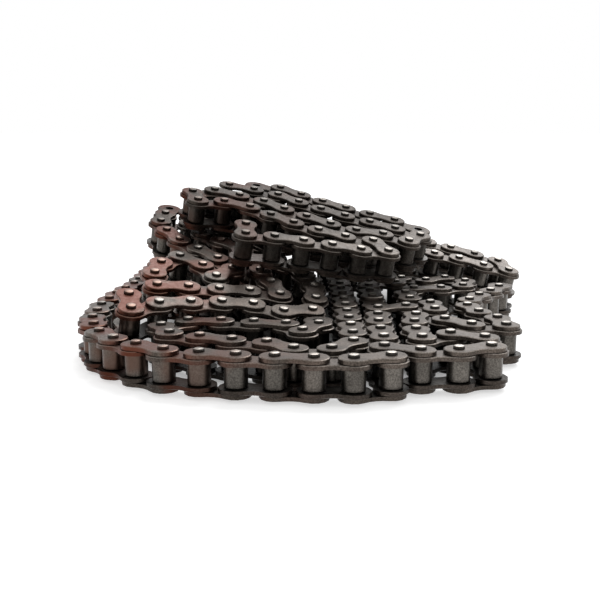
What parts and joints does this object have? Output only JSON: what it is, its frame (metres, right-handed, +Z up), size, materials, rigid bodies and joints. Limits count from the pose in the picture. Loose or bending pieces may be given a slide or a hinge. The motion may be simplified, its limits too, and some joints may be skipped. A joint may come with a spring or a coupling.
{
  "type": "roller chain",
  "caption": "Long steel roller chain lying on its side in a loose sloping heap, with waisted plates, riveted pins, turning rollers and a free end whose links bend.",
  "frame": {"origin": "on the floor, under the middle of the whole footprint of the heap and its free end", "axes": "+X to the heap's low right end, +Y to the back, where the free end points, +Z up, along the pins of the flat layer"},
  "size_m": [0.1988, 0.3144, 0.0613],
  "materials": {
    "inner_plate": "satin, heat-tinted brown",
    "outer_plate": "satin, heat-tinted brown",
    "pin": "bright",
    "bush": "satin",
    "roller": "satin grey"
  },
  "bodies": {
    "heap": {"floor_inner_plates": "inner_plate", "floor_outer_plates": "outer_plate", "floor_pins": "pin", "floor_bushes": "bush", "floor_rollers": "roller", "slope_inner_plates": "inner_plate", "slope_outer_plates": "outer_plate", "slope_pins": "pin", "slope_bushes": "bush", "slope_rollers": "roller", "top_inner_plates": "inner_plate", "top_outer_plates": "outer_plate", "top_pins": "pin", "top_bushes": "bush", "top_rollers": "roller"},
    "end_outer_1": {"end_outer_1_plates": "outer_plate", "end_outer_1_pins": "pin"},
    "end_inner_1": {"end_inner_1_plates": "inner_plate", "end_inner_1_bushes": "bush"},
    "end_inner_1_roller_near": {"end_inner_1_roller_near": "roller"},
    "end_inner_1_roller_far": {"end_inner_1_roller_far": "roller"},
    "end_outer_2": {"end_outer_2_plates": "outer_plate", "end_outer_2_pins": "pin"},
    "end_inner_2": {"end_inner_2_plates": "inner_plate", "end_inner_2_bushes": "bush"},
    "end_inner_2_roller_near": {"end_inner_2_roller_near": "roller"},
    "end_inner_2_roller_far": {"end_inner_2_roller_far": "roller"},
    "end_outer_3": {"end_outer_3_plates": "outer_plate", "end_outer_3_pins": "pin"},
    "end_inner_3": {"end_inner_3_plates": "inner_plate", "end_inner_3_bushes": "bush"},
    "end_inner_3_roller_near": {"end_inner_3_roller_near": "roller"},
    "end_inner_3_roller_far": {"end_inner_3_roller_far": "roller"}
  },
  "joints": [
    {"name": "end_outer_1_hinge", "type": "hinge", "parent": "heap", "child": "end_outer_1", "pos_m": [-0.08952, 0.07502, 0.00827], "axis": [0, 0, 1], "range_deg": [-45, 45]},
    {"name": "end_inner_1_hinge", "type": "hinge", "parent": "end_outer_1", "child": "end_inner_1", "pos_m": [-0.08952, 0.08772, 0.00827], "axis": [0, 0, 1], "range_deg": [-45, 45]},
    {"name": "end_inner_1_roller_near_spin", "type": "hinge", "parent": "end_inner_1", "child": "end_inner_1_roller_near", "pos_m": [-0.08952, 0.08772, 0.00827], "axis": [0, 0, 1], "continuous": true},
    {"name": "end_inner_1_roller_far_spin", "type": "hinge", "parent": "end_inner_1", "child": "end_inner_1_roller_far", "pos_m": [-0.08952, 0.10042, 0.00827], "axis": [0, 0, 1], "continuous": true},
    {"name": "end_outer_2_hinge", "type": "hinge", "parent": "end_inner_1", "child": "end_outer_2", "pos_m": [-0.08952, 0.10042, 0.00827], "axis": [0, 0, 1], "range_deg": [-45, 45]},
    {"name": "end_inner_2_hinge", "type": "hinge", "parent": "end_outer_2", "child": "end_inner_2", "pos_m": [-0.08952, 0.11312, 0.00827], "axis": [0, 0, 1], "range_deg": [-45, 45]},
    {"name": "end_inner_2_roller_near_spin", "type": "hinge", "parent": "end_inner_2", "child": "end_inner_2_roller_near", "pos_m": [-0.08952, 0.11312, 0.00827], "axis": [0, 0, 1], "continuous": true},
    {"name": "end_inner_2_roller_far_spin", "type": "hinge", "parent": "end_inner_2", "child": "end_inner_2_roller_far", "pos_m": [-0.08952, 0.12582, 0.00827], "axis": [0, 0, 1], "continuous": true},
    {"name": "end_outer_3_hinge", "type": "hinge", "parent": "end_inner_2", "child": "end_outer_3", "pos_m": [-0.08952, 0.12582, 0.00827], "axis": [0, 0, 1], "range_deg": [-45, 45]},
    {"name": "end_inner_3_hinge", "type": "hinge", "parent": "end_outer_3", "child": "end_inner_3", "pos_m": [-0.08952, 0.13852, 0.00827], "axis": [0, 0, 1], "range_deg": [-115, 115]},
    {"name": "end_inner_3_roller_near_spin", "type": "hinge", "parent": "end_inner_3", "child": "end_inner_3_roller_near", "pos_m": [-0.08952, 0.13852, 0.00827], "axis": [0, 0, 1], "continuous": true},
    {"name": "end_inner_3_roller_far_spin", "type": "hinge", "parent": "end_inner_3", "child": "end_inner_3_roller_far", "pos_m": [-0.08952, 0.15122, 0.00827], "axis": [0, 0, 1], "continuous": true}
  ]
}
